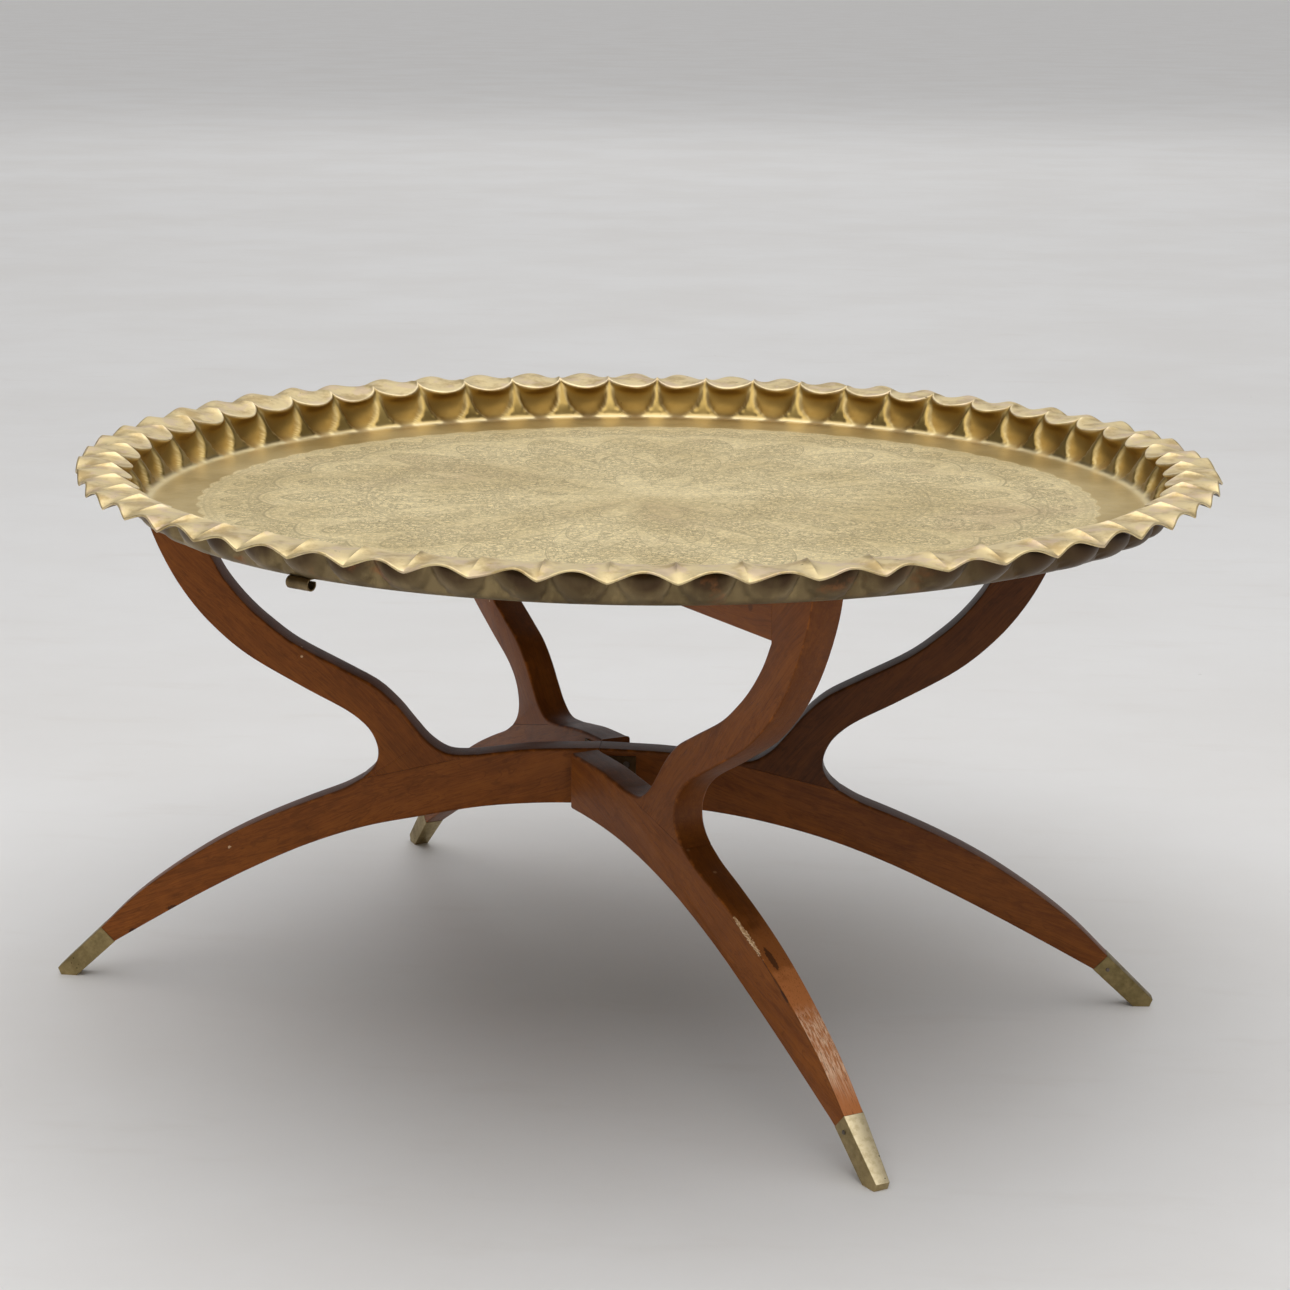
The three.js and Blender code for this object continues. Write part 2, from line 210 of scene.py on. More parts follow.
def wood(name, dark, light, grain_angle=0.0, seed=0.0, scar=False, chips=(), bruises=()):
    """Stained hardwood under worn satin lacquer, its grain at grain_angle degrees from level. chips and
    bruises are (centre, size, slope) of pale splintered and dark dented places."""
    n = Nodes(name)
    along = n.place(turn=(0, grain_angle, 0), shift=(seed, seed * 0.37, seed * 0.73))
    wander = n.add("VectorMath", {0: n.noise(along, 4, 2, out=1), 1: (0.035,) * 3}, operation="MULTIPLY")
    warped = n.add("VectorMath", {0: along, 1: wander}, operation="ADD")
    broad = n.noise(n.place((1.5, 22, 22), source=warped), 3.0, 5, 0.6)
    fibre = n.noise(n.place((7, 170, 170), source=warped), 5.0, 6, 0.66)
    pores = n.noise(n.place((34, 640, 640), source=warped), 2.6, 3, 0.5)
    tone = n.math("ADD", n.times(broad, 0.52), n.times(fibre, 0.48))
    colour = n.mix(n.steps(tone, 0.34, 0.66), dark, light)
    pore = n.steps(pores, 0.42, 0.30)
    colour = n.mix(n.times(pore, 0.38), colour, shade(dark, 0.42))
    figure = n.noise(n.place((2.2, 16, 16), source=warped), 4.0, 3, 0.5, 2.2)
    streak = n.line(figure, 0.5, 0.030, 0.006)
    colour = n.mix(n.times(streak, 0.28), colour, shade(dark, 0.45))
    blotch = n.noise(n.where, 13, 4, 0.6)
    colour = n.mix(n.times(n.steps(blotch, 0.54, 0.74), 0.30), colour, shade(dark, 0.5))
    # painted shade: the narrow faces are darker than the broad ones
    _, facing_y, facing_z = n.facing()
    narrow = n.steps(n.math("ABSOLUTE", facing_y), 0.85, 0.35)
    colour = n.mix(n.times(narrow, 0.50), colour, shade(dark, 0.30))
    # along the rounded edges: a darker line, partly grime and partly painted shade, and lighter rubbed
    # patches where the lacquer is worn
    edge = n.attribute("edge")
    rubbed = n.times(edge, n.steps(n.noise(n.where, 75, 5, 0.65), 0.46, 0.66))
    edge_grime_and_shade = n.math("SUBTRACT", edge, rubbed, clamp=True)
    colour = n.mix(n.times(edge_grime_and_shade, 0.45), colour, shade(dark, 0.4))
    colour = n.mix(n.times(rubbed, 0.32), colour, shade(light, 1.8))
    chip = n.spots(30, (0.040, 0.026), 9, 2, (0.60, 0.66))
    if scar:
        # bare wood where the lacquer has gone from the outer face near the foot
        outer = n.times(n.steps(n.math("ABSOLUTE", facing_y), 0.75, 0.45), n.steps(facing_z, 0.0, 0.2))
        along_leg, _, _ = n.components(n.where)
        ragged = n.math("ADD", along_leg, n.times(n.noise(n.where, 60, 4, 0.6), 0.05))
        thin = n.steps(ragged, 0.300, 0.330, 0.0, 0.45)
        worn = n.times(outer, n.math("MAXIMUM", thin, n.steps(ragged, 0.345, 0.368)))
        down_foot = n.place(turn=(0, FOOT_SLOPE, 0))
        streaks = n.noise(n.place((9, 260, 260), source=down_foot), 2.4, 6, 0.7)
        pale = n.times(n.steps(streaks, 0.42, 0.60, 0.05, 1.0),
                      n.times(n.steps(along_leg, 0.358, 0.378), n.steps(along_leg, 0.430, 0.404)))
        bare = n.mix(n.times(pale, 0.8), (0.53, 0.185, 0.055), (0.95, 0.68, 0.46))
        flecks = n.steps(n.noise(n.place((30, 420, 420), source=down_foot), 3.0, 4, 0.6), 0.56, 0.66)
        bare = n.mix(n.times(flecks, 0.7), bare, (0.16, 0.045, 0.014))
        colour = n.mix(n.times(worn, 0.85), colour, bare)
        drops = n.times(n.steps(n.cells(n.where, 62), 0.17, 0.09),
                       n.times(outer, n.steps(n.noise(n.where, 21, 2), 0.50, 0.56)))
        colour = n.mix(n.times(drops, 0.55), colour, (0.46, 0.25, 0.12))
    splinter = n.steps(n.noise(n.place((40, 900, 900), (0, -30, 0)), 1.2, 4, 0.7), 0.40, 0.62)
    for centre, size, slope in chips:
        chip = n.math("MAXIMUM", chip, n.blob(centre, size, slope))
    colour = n.mix(chip, colour, n.mix(splinter, (0.50, 0.27, 0.11), (0.93, 0.70, 0.43)))
    for centre, size, slope in bruises:
        dent = n.blob(centre, size, slope, 0.25)
        colour = n.mix(n.times(dent, 0.75), colour, (0.020, 0.009, 0.005))
    bruise = n.spots(24, (0.11, 0.05), 7, 2, (0.62, 0.66))
    colour = n.mix(n.times(bruise, 0.6), colour, shade(dark, 0.25))
    rough = n.math("ADD", n.times(n.noise(n.place((8, 60, 60), source=along), 4, 4), 0.16), 0.36)
    rough = n.math("ADD", rough, n.times(chip, 0.3), clamp=True)
    height = n.math("SUBTRACT", n.times(fibre, 0.5), n.times(pore, 0.8))
    height = n.math("SUBTRACT", height, n.times(chip, 1.6))
    normal = n.bump(height, 0.30, 0.0004)
    return n.set(Base_Color=colour, Roughness=rough, Normal=normal, Coat_Weight=0.04, Coat_Roughness=0.30,
                 Specular_IOR_Level=0.16)


def brass(name, base, tarnish, rough, grime=0.5, scratch=0.4, rubbed=0.0):
    """Aged metal with cloudy tarnish, scratches and dark specks, rubbed bright on a foot's outer face."""
    n = Nodes(name)
    cloud = n.noise(n.where, 26, 6, 0.62)
    fine = n.noise(n.where, 190, 5, 0.6)
    amount = n.steps(n.math("ADD", n.times(cloud, 0.7), n.times(fine, 0.3)), 0.40, 0.66)
    colour = n.mix(n.times(amount, grime), base, tarnish)
    if rubbed:
        _, facing_y, facing_z = n.facing()
        outer = n.times(n.steps(n.math("ABSOLUTE", facing_y), 0.7, 0.4), n.steps(facing_z, 0.1, 0.4))
        bright = n.mix(n.times(n.steps(fine, 0.45, 0.62), 0.4), (0.72, 0.61, 0.39), base)
        colour = n.mix(n.times(outer, rubbed), colour, bright)
    speck = n.spots(210, (0.16, 0.07), 40, 3, (0.56, 0.64))
    colour = n.mix(n.times(speck, 0.8), colour, (0.045, 0.032, 0.015))
    lines = n.noise(n.place((30, 900, 240), (0, 20, 35)), 1.6, 3, 0.7)
    crossed = n.noise(n.place((700, 40, 300), (15, 0, -25)), 1.4, 3, 0.7)
    scratches = n.math("MAXIMUM", n.steps(lines, 0.60, 0.70), n.steps(crossed, 0.62, 0.72))
    roughness = n.math("ADD", n.times(amount, 0.22), rough)
    roughness = n.math("ADD", roughness, n.times(speck, 0.3), clamp=True)
    height = n.math("SUBTRACT", n.times(cloud, 0.6), n.times(scratches, scratch))
    return n.set(Base_Color=colour, Metallic=1.0, Roughness=roughness, Normal=n.bump(height, 0.3, 0.0005))


# ---------------------------------------------------------------- helpers

def new_object(name, vertices, faces, material, smooth=True):
    mesh = bpy.data.meshes.new(name)
    mesh.from_pydata([tuple(v) for v in vertices], [], faces)
    mesh.validate()
    item = bpy.data.objects.new(name, mesh)
    bpy.context.scene.collection.objects.link(item)
    mesh.materials.append(material)
    if smooth:
        mesh.shade_smooth()
    return item


def set_attribute(item, name, values):
    attribute = item.data.attributes.new(name, "FLOAT", "POINT")
    attribute.data.foreach_set("value", np.asarray(values, np.float32).ravel())


def modifier(item, kind, **settings):
    made = item.modifiers.new(kind.title(), kind)
    for key, value in settings.items():
        setattr(made, key, value)
    return made


def catmull_at(a, b, c, d, t):
    """The place at t (0 to 1) between b and c on a Catmull-Rom curve."""
    return 0.5 * (2 * b + (c - a) * t + (2 * a - 5 * b + 4 * c - d) * t * t
                  + (3 * b - a - 3 * c + d) * t ** 3)


def catmull(points, steps):
    """Points on a Catmull-Rom curve through the given ones, the last point left out."""
    before = 2 * np.array(points[0], float) - points[1]
    after = 2 * np.array(points[-1], float) - points[-2]
    p = np.array([before, *points, after])
    return [catmull_at(*p[i - 1:i + 3], t) for i in range(1, len(p) - 2) for t in np.arange(steps) / steps]


def smooth_step(value, low, high):
    t = np.clip((value - low) / (high - low), 0, 1)
    return t * t * (3 - 2 * t)


# ---------------------------------------------------------------- boards

def underside(hollow):
    def raised(x, z):
        return (x, z + hollow * math.sin(math.pi * (x - 150) / (CAP_SEAM[0][0] - 150)))
    points = [(0, ARCH_LOW), (50, 168.5), (100, 164), (150, 154.5)]
    points += [raised(*p) for p in ((200, 140.5), (248, 122), (296, 99.5), (343, 75.5), (384, 53.5))]
    return catmull(points + [CAP_SEAM[0]], 7)


def topside():
    points = [(405, 72.5), (372, 98.5), (330, 126), (290, 147), (250, 164.5), (220, 176.5)]
    return catmull([CAP_SEAM[1], *points, ARM_SEAM[1]], 7)


def arm_outside():
    points = [ARM_SEAM[1], (194, 194.5), (189, 204), (189, 215), (194, 227), (203, 237), (218, 247.5),
              (252, 265.5), (299, 293), (331, 321), (353, 349), (369, 378), (380, 406), (ARM_TIP, RAIL_TOP)]
    return catmull(points, 6)


def arm_inside():
    points = [(RAIL_END, RAIL_LOW), (317, 358), (299, 336), (279, 318), (256, 301.5), (215, 280.5),
              (190, 267), (172, 251), (158, 234), (145, 219.5), (129, 210), (108, 209.5), (84, 212.5),
              (54, 216), (0, ARCH_TOP)]
    return catmull(points, 6) + [np.array((0.0, ARCH_TOP))]


def clip(polygon, a, b, shift=0.0):
    """The part of a polygon [(x, z, rounded)] to the left of the line a-b; the new edge isn't rounded.
    rounded belongs to the edge that starts at the point."""
    a, b = np.array(a, float), np.array(b, float)
    normal = np.array((-(b - a)[1], (b - a)[0])) / np.linalg.norm(b - a)
    level = normal @ a + shift
    out = []
    count = len(polygon)
    for i in range(count):
        x, z, flag = polygon[i]
        nx, nz, _ = polygon[(i + 1) % count]
        d0, d1 = normal @ (x, z) - level, normal @ (nx, nz) - level
        if d0 >= 0:
            out.append((x, z, flag))
        if (d0 >= 0) != (d1 >= 0):
            t = d0 / (d0 - d1)
            out.append((x + (nx - x) * t, z + (nz - z) * t, flag if d0 < 0 else False))
    return out


def share_at(x):
    return float(np.interp(x, [FOOT_START, FOOT_SHARE[0], TIP_SHARE[0]], [1, FOOT_SHARE[1], TIP_SHARE[1]]))


def rounding_at(x, limit):
    return float(np.interp(x, [200, 300], [ROUND, ROUND_FOOT])) if limit is None else limit


def inset(points, flags, distances):
    """Moves each rounded edge inwards (the polygon runs counter-clockwise), mitred at the corners."""
    count = len(points)
    moved = []
    for i in range(count):
        before = points[i] - points[i - 1]
        after = points[(i + 1) % count] - points[i]
        normals = [np.array((-d[1], d[0])) / max(1e-9, np.linalg.norm(d)) for d in (before, after)]
        reach = [distances[i] * flags[i - 1], distances[i] * flags[i]]
        cross = normals[0][0] * normals[1][1] - normals[0][1] * normals[1][0]
        if abs(cross) < 0.05:
            shift = normals[0] * reach[0] * 0.5 + normals[1] * reach[1] * 0.5
            if flags[i - 1] != flags[i]:
                shift = (normals[0] * reach[0] + normals[1] * reach[1])
        else:
            shift = np.linalg.solve(np.array(normals), np.array(reach))
        moved.append(points[i] + shift)
    return moved


def board(name, polygon, material, tapered=False, round_limit=None, grow=0.0, layers=5):
    """A rounded board in its own plane: x along the board, y through it, z up, in metres."""
    points = [np.array(p[:2], float) for p in polygon]
    flags = [bool(p[2]) for p in polygon]
    if grow:
        points = inset(points, flags, [-grow] * len(points))
    radii = np.array([rounding_at(p[0], round_limit) for p in points])
    rings, halves, edge = [], [], []
    angles = np.linspace(0, math.pi / 2, layers)
    for sign in (-1, 1):
        for angle in (angles if sign < 0 else angles[::-1]):
            ring = inset(points, flags, radii * (1 - math.sin(angle)))
            rings.append(ring)
            halves.append([sign * (BOARD / 2 - r * (1 - math.cos(angle))) for r in radii])
            edge.append(math.sin(2 * angle) if 0 < angle < math.pi / 2 else 0.15)
    vertices, edges = [], []
    for ring, half, rub in zip(rings, halves, edge):
        for point, y, flag in zip(ring, half, flags):
            scale = share_at(point[0]) if tapered else 1.0
            y = y * scale + math.copysign(grow, y)
            vertices.append((point[0] * MM, y * MM, point[1] * MM))
            edges.append(rub * flag)
    count = len(points)
    faces = [tuple(range(count)), tuple(range((len(rings) - 1) * count, len(rings) * count))[::-1]]
    for layer in range(len(rings) - 1):
        base = layer * count
        for i in range(count):
            j = (i + 1) % count
            faces.append((base + j, base + i, base + count + i, base + count + j))
    item = new_object(name, vertices, faces, material, smooth=True)
    set_attribute(item, "edge", edges)
    modifier(item, "EDGE_SPLIT", split_angle=math.radians(35))
    return item


def half_pieces(side, start):
    """The outlines of one half of the stand as {piece: polygon}."""
    def rounded(points):
        return [(*p, True) for p in points]

    inner = rounded(p for p in arm_inside() if p[0] > start + 1)
    low = rounded([(start, ARCH_LOW), *(p for p in underside(HOLLOW[side]) if p[0] > start + 1)])
    arch = [p for p in inner if p[0] < ARCH_END] + [(start, ARCH_TOP, False)]
    seam_a, seam_b = ARM_SEAM
    # the leg reaches past the arm's seam and is cut back to it
    whole_leg = low + rounded([CAP_SEAM[0], *SOLE, *topside(), seam_b, PAST_SEAM]) + arch
    leg = clip(whole_leg, seam_b, seam_a, GAP / 2)
    cap = clip(leg, CAP_SEAM[1], CAP_SEAM[0], GAP)
    leg = clip(leg, CAP_SEAM[0], CAP_SEAM[1], 0)
    arm = rounded([*arm_outside(), (ARM_TIP, RAIL_TOP)]) + [(RAIL_END, RAIL_TOP, False)] + inner
    arm += [(start, ARCH_TOP, False), (start, UNDER_SEAM, False), (seam_b[0], UNDER_SEAM, False)]
    arm = clip(arm, seam_a, seam_b, GAP / 2)
    rail = [(start, RAIL_LOW, True), (RAIL_END - GAP, RAIL_LOW, False), (RAIL_END - GAP, RAIL_TOP, True),
            (start, RAIL_TOP, False)]
    return {"leg": leg, "arm": arm, "rail": rail, "cap": cap}


# ---------------------------------------------------------------- tray

# (radius, height over the floor) at mid-lobe and at a crease, then the half-width of the cup there or the
# kind of row above the cups
SECTION = [
    ((384, 0), (384, 0), None),
    ((401, 0), (401, 0), None),
    ((407.5, 0.6), (407.5, 0.8), None),
    ((412.6, 2.6), (411.2, 3.2), 0.34),
    ((418.6, 6.2), (413.0, 7.6), 0.62),
    ((423.2, 11.2), (415.4, 13.2), 0.79),
    ((425.2, 16.6), (419.0, 19.2), 0.87),
    ((424.8, 21.4), (423.4, 25.0), 0.90),
    ((421.4, 25.0), (427.6, 30.4), 0.94),
    ((418.4, 27.2), (430.6, 33.9), "crest"),
    ((417.8, 28.7), (433.2, 35.3), "crest"),
    ((420.4, 29.8), (436.8, 35.0), "crest"),
    ((429.0, 30.8), (444.0, 33.2), "lip"),
    ((441.0, 31.9), (452.0, 30.6), "lip"),
    ((452.0, 32.8), (458.6, 28.1), "edge"),
    ((460.0, 33.4), (462.8, 26.2), "edge"),
]
ROWS_PER_STATION = 3
CREST_STATION = 9
FLOOR_RADII = (30, 75, 120, 165, 210, 255, 300, 340)
LIFT = {"crest": 0.8, "lip": 0.9, "edge": 1.0}  # share of each lobe's own curl and height
# a row's shape across a lobe: share of a round end, share of a cosine and the cosine's power
ROW_SHAPE = {"crest": (0.85, 0.15, 1.6), "lip": (0.55, 0.45, 1.5), "edge": (0.0, 1.0, 1.25)}


def bend(r, angle):
    """How far the hand-beaten rim stands out of true."""
    rise, at, start, end = FLARE
    warp = WARP * np.sin(angle) * smooth_step(r, FLAT, WARP_FULL)
    towards = np.maximum(0, np.cos(angle - math.radians(at)))
    return warp + rise * towards ** 2 * smooth_step(r, start, end)


def smooth_noise(angle, waves, seed):
    """A periodic wobble in the angle, made of a few waves."""
    rng = np.random.default_rng(seed)
    total = np.zeros_like(angle)
    for wave in waves:
        total += rng.normal() * np.cos(wave * angle + rng.uniform(0, 2 * math.pi))
    return total / math.sqrt(len(waves))


def across_lobe(kind, q, cup_error):
    """How far a row has gone from its mid-lobe section to its crease section, at q from 0 to 1."""
    if kind is None:
        return np.zeros_like(q)
    if kind in ROW_SHAPE:
        round_share, cosine_share, power = ROW_SHAPE[kind]
        round_end = (1 - np.sqrt(1 - (0.995 * q) ** 2)) / (1 - math.sqrt(1 - 0.995 ** 2))
        return round_share * round_end + cosine_share * (1 - np.cos(q * math.pi / 2) ** power)
    cup = kind + 0.02 * cup_error
    return 1 - np.sqrt(np.clip(1 - np.clip(q / cup, 0, 1) ** 2, 0, 1))


def colour_masks(tag, q):
    """What tells the parts of the rim apart in the materials, for the row at station tag: the crest, fillet
    and ridge masks carry painted highlights, the lip shadow mask painted shade under the lip, and the hollow
    mask the cups' tarnish and painted shade.
    """
    def fade(start, length):
        return float(np.clip((tag - start) / length, 0, 1))

    cup = float(np.interp(tag, [3, 4, 5, 6, 9], [0.30, 0.58, 0.76, 0.85, 0.92]))
    flat = np.ones_like(q)
    return {
        "crest": flat * math.exp(-((tag - 10) / 0.8) ** 2),
        "hollow": np.clip((cup + 0.10 - q) / 0.10, 0, 1) * float(fade(3, 1.2) * np.clip(9.6 - tag, 0, 1)),
        "lip_shadow": np.clip(1.5 - (q / 0.80) ** 2 - ((tag - 7.4) / 2.5) ** 2, 0, 1),
        "fillet_highlight": flat * math.exp(-((tag - 2.1) / 0.75) ** 2),
        "ridge_highlight": np.exp(-((q - cup) / 0.05) ** 2) * float(fade(2.4, 0.8) * np.clip(8.6 - tag, 0, 1)),
        "rim": flat * fade(8.3, 0.7),
    }


def tray_object(top, under):
    """The tray as a sheet of rows round it, from the floor out to the edge of the lip."""
    columns = LOBES * PER_LOBE
    i = np.arange(columns)
    even = i / columns * 2 * math.pi
    angle = even + np.radians(FIRST_CREASE + DRIFT[0] * np.cos(even) + DRIFT[1] * np.cos(2 * even))
    phase = (i % PER_LOBE) / PER_LOBE
    lobe = i // PER_LOBE
    per_lobe = {k: RNG.normal(size=LOBES) for k in ("curl", "edge", "skew", "cup")}
    peak = RNG.normal(size=LOBES)
    at_crease = (1 - phase) * peak[lobe] + phase * peak[(lobe + 1) % LOBES]
    mid = np.sin(math.pi * phase)
    skew = per_lobe["skew"][lobe] * 0.05
    q = np.abs(2 * np.clip(phase + skew * mid, 0, 1) - 1)
    stations = []
    for (lobe_r, lobe_h), (crease_r, crease_h), kind in SECTION:
        w = across_lobe(kind, q, per_lobe["cup"][lobe])
        r = lobe_r + (crease_r - lobe_r) * w
        h = lobe_h + (crease_h - lobe_h) * w
        if kind in LIFT:
            r = r + LIFT[kind] * (0.9 * per_lobe["curl"][lobe] * mid + 0.7 * at_crease * (1 - mid))
            h = h + LIFT[kind] * (0.55 * per_lobe["edge"][lobe] * mid + 0.5 * at_crease * (1 - mid))
        stations.append(np.stack([r, h], 1))
    rows = [np.stack([np.full(columns, float(radius)), np.zeros(columns)], 1) for radius in FLOOR_RADII]
    tags = [-1] * len(FLOOR_RADII)  # the station each row belongs to, with a fraction between two
    last = len(stations) - 1
    for k in range(last):
        a, b, c, d = stations[max(0, k - 1)], stations[k], stations[k + 1], stations[min(last, k + 2)]
        for t in np.arange(ROWS_PER_STATION) / ROWS_PER_STATION:
            rows.append(catmull_at(a, b, c, d, t))
            tags.append(k + t)
    rows.append(stations[-1])
    tags.append(last)
    floor = TRAY_UNDERSIDE + SHEET
    wobble = [smooth_noise(angle, range(20, 90, 7), seed) for seed in (100, 101)]
    wobble += [smooth_noise(angle, range(25, 120, 9), seed) for seed in (300, 301)]
    turned = (np.degrees(angle) + 180) % 360 - 180
    vertices, masks = [], []
    for row, tag in zip(rows, tags):
        r, h = row[:, 0].copy(), row[:, 1].copy()
        if tag > 2:
            wall = float(np.clip((tag - 3) / 2, 0, 1))
            drift = tag * 0.6
            r = r + wall * 0.45 * (wobble[0] * math.cos(drift) + wobble[1] * math.sin(drift))
            h = h + wall * 0.22 * (wobble[2] * math.cos(drift) + wobble[3] * math.sin(drift))
        h = h + 0.25 * smooth_noise(angle, range(2, 9), 7) * min(1.0, r.mean() / 400)
        if 1 < tag < CREST_STATION:
            swell = math.sin(math.pi * (tag - 1) / (CREST_STATION - 1)) ** 1.2
            r = r + BULGE[0] * np.exp(-((turned - BULGE[1]) / BULGE[2]) ** 4) * swell
        z = floor + h + bend(r, angle)
        vertices.append(np.stack([r * np.cos(angle), r * np.sin(angle), z - floor], 1) * MM)
        masks.append(colour_masks(tag, q))
    count = len(rows)
    positions = np.concatenate(vertices)
    middle = len(positions)
    positions = np.vstack([positions, [(0, 0, 0)]])
    faces = []
    for row in range(count - 1):
        base = row * columns
        for c in range(columns):
            n = (c + 1) % columns
            faces.append((base + c, base + columns + c, base + columns + n, base + n))
    faces += [(middle, c, (c + 1) % columns) for c in range(columns)]
    item = new_object("tray_sheet", positions, faces, top)
    item.data.materials.append(under)
    for name in masks[0]:
        set_attribute(item, name, np.append(np.concatenate([mask[name] for mask in masks]), 0))
    # the creases of the lip are sharp lines
    ends = np.empty(len(item.data.edges) * 2, int)
    item.data.edges.foreach_get("vertices", ends)
    row, column = np.divmod(ends.reshape(-1, 2), columns)
    along_crease = (column[:, 0] == column[:, 1]) & (column[:, 0] % PER_LOBE == 0)
    creased = along_crease & (row.min(1) >= tags.index(CREST_STATION))
    item.data.attributes.new("sharp_edge", "BOOLEAN", "EDGE").data.foreach_set("value", creased)
    item.location = (TRAY_CENTRE[0] * MM, TRAY_CENTRE[1] * MM, floor * MM)
    thickness = SHEET * VISUAL_SHEET * MM
    modifier(item, "SOLIDIFY", thickness=thickness, offset=-1, material_offset=1, material_offset_rim=0)
    return item


def tray_top():
    """Aged engraved brass: plain lip and wall, a plain band, and a matt engraved field inside it."""
    n = Nodes("tray_brass")
    x, y, z = n.components(n.where)
    radius = n.math("SQRT", n.math("ADD", n.times(x, x), n.times(y, y)))
    angle = n.math("ARCTAN2", y, x)
    scallop = n.math("ABSOLUTE", n.math("SINE", n.times(angle, 36)))
    reach = n.math("SUBTRACT", radius, n.times(scallop, 0.004))
    field = n.steps(reach, 0.3655, 0.3635)
    cloud = n.noise(n.where, 7, 6, 0.6)
    fine = n.noise(n.where, 150, 5, 0.62)
    # plain metal; the wall is a darker copy of the band's brass, painted shade
    band = n.mix(n.steps(cloud, 0.38, 0.66), (0.70, 0.545, 0.255), (0.53, 0.385, 0.145))
    wall = n.mix(n.steps(cloud, 0.38, 0.66), (0.47, 0.325, 0.105), (0.32, 0.21, 0.06))
    plain = n.mix(n.steps(z, 0.0010, 0.0035), band, wall)
    # painted highlight: a bright line along the bend at the foot of the wall
    plain = n.mix(n.times(n.attribute("fillet_highlight"), 0.7), plain, (1.0, 0.87, 0.54))
    tarnished = n.steps(n.noise(n.where, 48, 5, 0.62), 0.42, 0.66)
    lip = n.mix(n.times(tarnished, 0.80), (0.83, 0.675, 0.37), (0.50, 0.35, 0.145))
    rosy = n.steps(n.noise(n.place(shift=(3, 1, 2)), 60, 4, 0.6), 0.50, 0.64)
    lip = n.mix(n.times(rosy, 0.6), lip, (0.74, 0.57, 0.42))
    plain = n.mix(n.times(n.attribute("rim"), 0.97), plain, lip)
    # the cups between the ridges darker: partly tarnish, partly painted shade
    cup_tarnish_and_shade = n.times(n.attribute("hollow"), n.steps(n.noise(n.where, 45, 4), 0.25, 0.7, 0.75, 1.0))
    plain = n.mix(n.times(cup_tarnish_and_shade, 0.92), plain, (0.35, 0.21, 0.05))
    # painted highlight on the ridges between the cups
    plain = n.mix(n.times(n.attribute("ridge_highlight"), 0.40), plain, (0.95, 0.80, 0.42))
    # painted highlight along the crest
    plain = n.mix(n.times(n.attribute("crest"), 0.4), plain, (1.0, 0.88, 0.62))
    # engraving: bands, large petals and stars, and scrollwork filling the rest
    at = n.math("DIVIDE", radius, 0.4)
    stops = [(0, 0.0)]
    for ring in (0.132, 0.304, 0.318, 0.564, 0.578, 0.803, 0.817, 0.893, 0.905):
        stops += [(ring - 0.0035, 0.0), (ring, 1.0), (ring + 0.0035, 0.0)]
    rings = n.ramp(at, *stops)
    swirl = n.noise(n.where, 90, 2, 0.5, out=1)
    swirl = n.add("VectorMath", {0: swirl, 1: (0.010,) * 3}, operation="MULTIPLY")
    bent = n.add("VectorMath", {0: n.where, 1: swirl}, operation="ADD")
    leaf = n.steps(n.cells(bent, 140, "DISTANCE_TO_EDGE", Randomness=1.0), 0.14, 0.04)
    scroll = n.line(n.noise(n.where, 185, 2, 0.5, 1.2), 0.5, 0.050, 0.014)
    large = n.line(n.noise(n.where, 70, 3, 0.55, 1.4), 0.5, 0.022, 0.006)

    # rows of arches round the centre (half their number, inner radius, height), every other shape denser
    drawn, dense = rings, 0.0
    for count, inner, height in ((12, 0.240, 0.060), (8, 0.128, 0.075), (30, 0.331, 0.018), (6, 0.045, 0.060),
                                 (18, 0.150, 0.070), (12, 0.305, 0.015)):
        wave = n.math("ABSOLUTE", n.math("SINE", n.times(angle, count)))
        away = n.math("SUBTRACT", radius, n.math("ADD", inner, n.times(wave, height)))
        drawn = n.math("MAXIMUM", drawn, n.steps(n.math("ABSOLUTE", away), 0.0018, 0.0006))
        second = n.steps(n.math("ABSOLUTE", n.math("ADD", away, 0.005)), 0.0012, 0.0004)
        drawn = n.math("MAXIMUM", drawn, n.times(second, 0.6))
        dense = n.math("ABSOLUTE", n.math("SUBTRACT", dense, n.steps(away, 0.001, -0.001)))
    filled = n.math("MAXIMUM", n.times(leaf, 0.6), n.math("MAXIMUM", scroll, n.times(large, 0.7)))
    worn = n.steps(n.noise(n.where, 16, 3), 0.30, 0.62, 0.75, 1.0)
    patchy = n.times(worn, n.steps(dense, 0.0, 1.0, 0.60, 1.0))
    lines = n.math("MAXIMUM", n.times(drawn, 0.72), n.times(filled, patchy))
    lines = n.times(lines, field)
